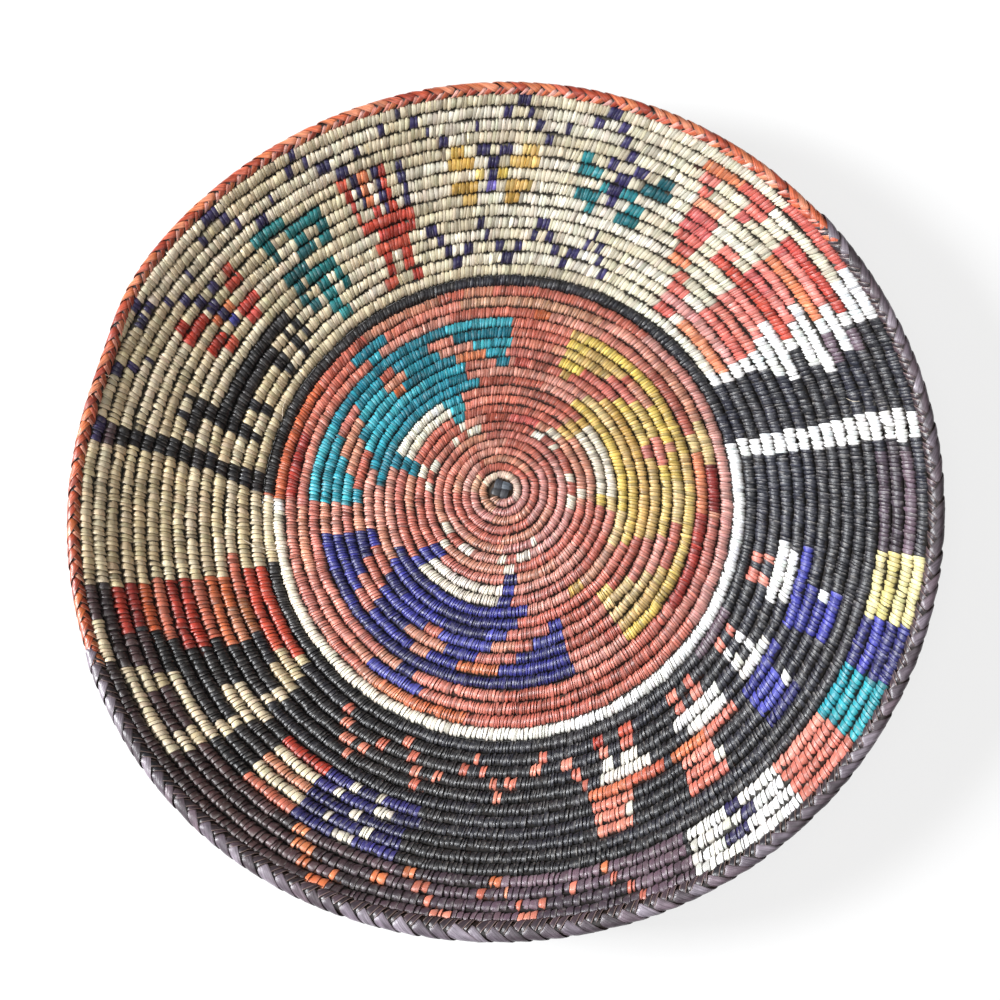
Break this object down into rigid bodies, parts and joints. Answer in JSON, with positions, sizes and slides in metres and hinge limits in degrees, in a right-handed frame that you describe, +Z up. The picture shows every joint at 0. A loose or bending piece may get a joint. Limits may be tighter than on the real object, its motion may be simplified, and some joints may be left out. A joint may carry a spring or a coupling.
{
  "type": "coiled basket tray",
  "caption": "Shallow round coiled tray of dyed palm leaf: a flat salmon base with stepped figures, a cream and black patterned wall and a plaited edge.",
  "frame": {"origin": "on the floor under the middle of the tray's outline", "axes": "+Z up out of the tray, +X to the right and +Y to the top of the picture"},
  "size_m": [0.3866, 0.3844, 0.0481],
  "materials": {
    "base_leaf": "satin dyed palm leaf, salmon with teal, yellow and violet figures",
    "ring_leaf": "satin dyed palm leaf, black on one side and white on the other",
    "wall_leaf": "satin dyed palm leaf, cream and charcoal with coloured figures",
    "terracotta_plait": "satin twisted leaf strips",
    "plum_plait": "satin twisted leaf strips",
    "start_leaf": "satin flat leaf strips"
  },
  "bodies": {
    "root": {"base_coil": "base_leaf", "ring_row": "ring_leaf", "wall_coil": "wall_leaf", "rim_braid_terracotta_short": "terracotta_plait", "rim_braid_plum": "plum_plait", "rim_braid_terracotta_long": "terracotta_plait", "start_strip_1": "start_leaf", "start_strip_2": "start_leaf", "start_strip_3": "start_leaf", "start_strip_4": "start_leaf"}
  },
  "joints": []
}
